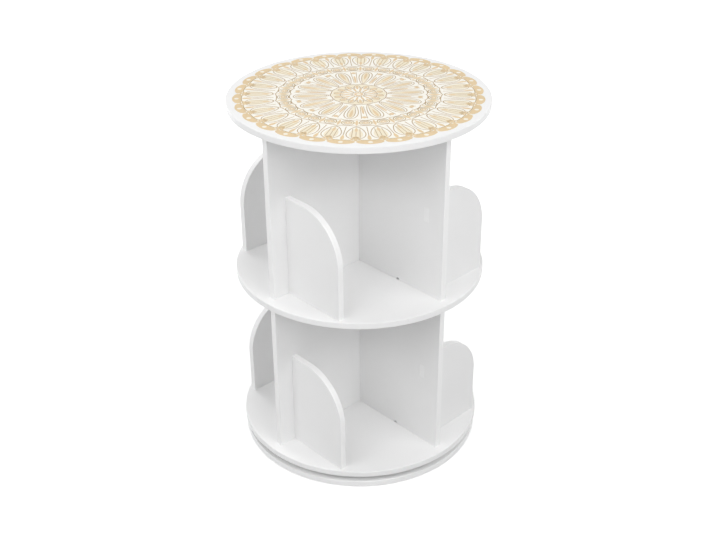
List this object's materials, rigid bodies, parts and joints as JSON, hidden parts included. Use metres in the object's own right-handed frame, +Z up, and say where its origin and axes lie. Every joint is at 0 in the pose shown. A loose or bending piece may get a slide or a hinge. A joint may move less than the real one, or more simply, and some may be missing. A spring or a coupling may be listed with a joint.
{
  "type": "rotating shelf",
  "caption": "Floor-standing revolving bookshelf: round shelves on crossed dividers with low rounded bookends, turning on a ball turntable over a round base.",
  "frame": {"origin": "on the floor, under the turning axis, in the middle of the foot pads", "axes": "+Z up along the turning axis; the dividers run along X and Y"},
  "size_m": [0.4599, 0.46, 0.684],
  "materials": {
    "white_board": "white satin lacquer on board",
    "foot_pad": "soft dark foam rubber",
    "turntable_ring": "turned",
    "ball_cage": "natural nylon",
    "bearing_ball": "polished steel",
    "screw": "zinc plated",
    "bracket": "white powder coat"
  },
  "bodies": {
    "base": {"base_disc": "white_board", "foot_pad_1": "foot_pad", "foot_pad_2": "foot_pad", "foot_pad_3": "foot_pad", "foot_pad_4": "foot_pad", "foot_pad_5": "foot_pad", "foot_pad_6": "foot_pad", "bearing_outer_ring": "turntable_ring", "base_screws": "screw"},
    "cage": {"ball_cage": "ball_cage", "bearing_balls": "bearing_ball"},
    "tower": {"bearing_inner_ring": "turntable_ring", "lower_shelf": "white_board", "middle_shelf": "white_board", "top_disc": "white_board", "lower_divider_a": "white_board", "lower_divider_b": "white_board", "upper_divider_a": "white_board", "upper_divider_b": "white_board", "lower_bookend_1": "white_board", "lower_bookend_2": "white_board", "lower_bookend_3": "white_board", "lower_bookend_4": "white_board", "upper_bookend_1": "white_board", "upper_bookend_2": "white_board", "upper_bookend_3": "white_board", "upper_bookend_4": "white_board", "middle_bracket_1": "bracket", "middle_bracket_2": "bracket", "middle_bracket_3": "bracket", "middle_bracket_4": "bracket", "top_bracket_1": "bracket", "top_bracket_2": "bracket", "top_bracket_3": "bracket", "top_bracket_4": "bracket", "ring_screws": "screw", "lower_shelf_screws": "screw", "middle_shelf_screws": "screw", "middle_bracket_screws": "screw", "top_bracket_screws": "screw"}
  },
  "joints": [
    {"name": "tower_turn", "type": "hinge", "parent": "base", "child": "tower", "pos_m": [0, 0, 0.02], "axis": [0, 0, 1], "continuous": true},
    {"name": "cage_turn", "type": "hinge", "parent": "base", "child": "cage", "pos_m": [0, 0, 0.02], "axis": [0, 0, 1], "continuous": true}
  ],
  "couplings": [
    {"joint": "cage_turn", "follows": "tower_turn", "ratio": 0.5}
  ]
}
